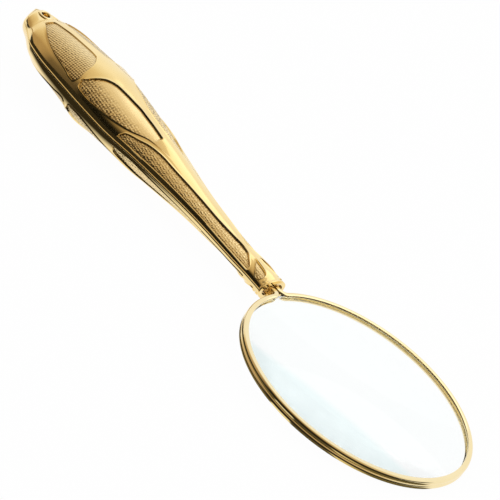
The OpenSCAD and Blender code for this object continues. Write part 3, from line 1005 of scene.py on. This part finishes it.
# Painted reflections of the surround, by the angle round the handle in degrees: 0 is level towards its long
# side nearest the camera, 90 straight up and 180 level behind it
paintedSurroundReflections = (
    (-90, (0.30, 0.26, 0.20)),
    (-12, (0.030, 0.022, 0.014)),
    (0, (0.009, 0.008, 0.006)),
    (18, (0.007, 0.006, 0.004)),
    (27, (0.045, 0.033, 0.017)),
    (37, (0.20, 0.145, 0.073)),
    (50, (0.50, 0.37, 0.21)),
    (75, (0.66, 0.54, 0.36)),
    (100, (0.80, 0.69, 0.51)),
    (115, (0.90, 0.84, 0.72)),
    (132, (1.00, 0.97, 0.93)),
    (155, white),
    (180, white),
)


def rayKinds(nodes, links):
    # Each is 1 or 0: seen for a ray straight from the camera or through the glass, throughGlass for
    # the second kind only, mirrored for one that has left bare metal
    rays = nodes.new("ShaderNodeLightPath")
    throughGlass = mathNode(nodes, links, "GREATER_THAN", rays.outputs["Transmission Depth"], 0.5)
    seen = mathNode(nodes, links, "MAXIMUM", rays.outputs["Is Camera Ray"], throughGlass)
    bare = mathNode(nodes, links, "SUBTRACT", 1.0, throughGlass)
    return seen, throughGlass, mathNode(nodes, links, "MULTIPLY", rays.outputs["Is Glossy Ray"], bare)


def axesOf(nodes, links, source):
    node = nodes.new("ShaderNodeSeparateXYZ")
    links.new(source, node.inputs[0])
    return [node.outputs[name] for name in "XYZ"]


def mmRamp(nodes, links, source, edge):
    # 0 at the first place of an edge and 1 at the second
    return ramp(nodes, links, source, edge[0] * mm, edge[1] * mm)


def toneRamp(nodes, links, source, tones, unit=1):
    # A colour that follows a value through [value, colour] pairs
    node = nodes.new("ShaderNodeValToRGB")
    low = tones[0][0]
    high = tones[-1][0]
    links.new(ramp(nodes, links, source, low * unit, high * unit), node.inputs[0])
    while len(node.color_ramp.elements) < len(tones):
        node.color_ramp.elements.new(0.5)
    for element, (value, colour) in zip(node.color_ramp.elements, tones):
        element.position = (value - low) / (high - low)
        element.color = (*colour, 1)
    return node.outputs["Color"]


def floorSeen(nodes, links, place, seen, throughGlass):
    # Mostly a white glow, so that only a faint shadow shows on it. Through the near part of the glass it
    # shows a painted pale blue shade.
    patches = studio["floorPatches"]
    tone = ramp(nodes, links, noise(nodes, links, patches), *patches["between"])
    diffuse = nodes.new("ShaderNodeBsdfDiffuse")
    links.new(mixColours(nodes, links, tone, *studio["floorTones"]), diffuse.inputs["Color"])
    x, y, _ = axesOf(nodes, links, place)
    lean = mathNode(nodes, links, "MULTIPLY", x, studio["glassShadeLean"])
    near = mmRamp(nodes, links, mathNode(nodes, links, "SUBTRACT", y, lean), studio["glassShadeEdge"])
    blue = mathNode(nodes, links, "MULTIPLY", near, throughGlass)
    glow = glowOf(nodes, links, mixColours(nodes, links, blue, white, studio["glassShadeBlue"]))
    glowShare = mathNode(nodes, links, "MULTIPLY", seen, studio["floorGlow"])
    return mixShaders(nodes, links, glowShare, diffuse.outputs[0], glow)


def paintedFloorReflection(nodes, links, place):
    # Painted reflections: white under the handle, other tones in front of it and round the glass
    x, y, _ = axesOf(nodes, links, place)
    pastGlass = mathNode(nodes, links, "MULTIPLY", mmRamp(nodes, links, x, mirror["glassEdge"]),
                         mmRamp(nodes, links, y, mirror["glassSide"]))
    front = mathNode(nodes, links, "MAXIMUM", mmRamp(nodes, links, y, mirror["handleEdge"]), pastGlass)
    fromGlass = nodes.new("ShaderNodeVectorMath")
    fromGlass.operation = "DISTANCE"
    fromGlass.inputs[1].default_value = (ringX * mm, 0, midZ * mm)
    links.new(place, fromGlass.inputs[0])
    pastRim = mmRamp(nodes, links, fromGlass.outputs["Value"], mirror["rimEdge"])
    byRim = toneRamp(nodes, links, x, paintedFrontReflections, mm)
    frontTone = mixColours(nodes, links, pastRim, byRim, mirror["darkSide"])
    return glowOf(nodes, links, mixColours(nodes, links, front, mirror["whiteFloor"], frontTone))


def makeFloor():
    (x0, z0), (x1, z1) = studio["floorRest"]
    slope = (z1 - z0) / (x1 - x0)
    half = studio["floorSize"] / 2
    corners = [Vector((x, y, z0 + slope * (x - x0))) * mm
               for x, y in ((-half, -half), (half, -half), (half, half), (-half, half))]
    mesh = bpy.data.meshes.new("floor")
    mesh.from_pydata(corners, [], [(0, 1, 2, 3)])
    mat, nodes, links = newMaterial("paleFloor")
    place = nodes.new("ShaderNodeNewGeometry").outputs["Position"]
    seen, throughGlass, mirrored = rayKinds(nodes, links)
    finishMaterial(nodes, links, mixShaders(
        nodes, links, mirrored, floorSeen(nodes, links, place, seen, throughGlass),
        paintedFloorReflection(nodes, links, place)))
    mesh.materials.append(mat)
    floor = bpy.data.objects.new("floor", mesh)
    bpy.context.scene.collection.objects.link(floor)


def makeLamp():
    data = bpy.data.lights.new("topLamp", "AREA")
    data.shape = "DISK"
    data.size = studio["lampSize"] * mm
    data.energy = studio["lampPower"]
    obj = bpy.data.objects.new("topLamp", data)
    obj.location = Vector(studio["lampPlace"]) * mm
    obj.rotation_euler = obj.location.to_track_quat("Z", "Y").to_euler()
    bpy.context.scene.collection.objects.link(obj)


def makeSurround():
    world = bpy.data.worlds.new("surround")
    bpy.context.scene.world = world
    world.use_nodes = True
    nodes = world.node_tree.nodes
    links = world.node_tree.links
    nodes.clear()
    x, y, z = axesOf(nodes, links, nodes.new("ShaderNodeTexCoord").outputs["Generated"])
    around = mathNode(nodes, links, "ARCTAN2", z, mathNode(nodes, links, "MULTIPLY", y, -1.0))
    degrees = mathNode(nodes, links, "DEGREES", around, 0)
    tone = mixColours(nodes, links, ramp(nodes, links, x, *mirror["beyondTipEdge"]),
                      toneRamp(nodes, links, degrees, paintedSurroundReflections), mirror["beyondTip"], "LIGHTEN")
    # A painted dark reflection also lies low beyond the glass
    darkShare = mathNode(nodes, links, "MULTIPLY", ramp(nodes, links, z, *mirror["beyondGlassTop"], 1, 0),
                         ramp(nodes, links, x, *mirror["beyondGlassEdge"]))
    paintedSkyReflection = mixColours(nodes, links, darkShare, tone, mirror["darkSide"])
    seen, _, mirrored = rayKinds(nodes, links)
    plainSky = mixColours(nodes, links, seen, (studio["skyLight"],) * 3, white)
    background = nodes.new("ShaderNodeBackground")
    links.new(mixColours(nodes, links, mirrored, plainSky, paintedSkyReflection), background.inputs["Color"])
    out = nodes.new("ShaderNodeOutputWorld")
    links.new(background.outputs[0], out.inputs["Surface"])


makeFloor()
makeLamp()
makeSurround()
print("studio done")
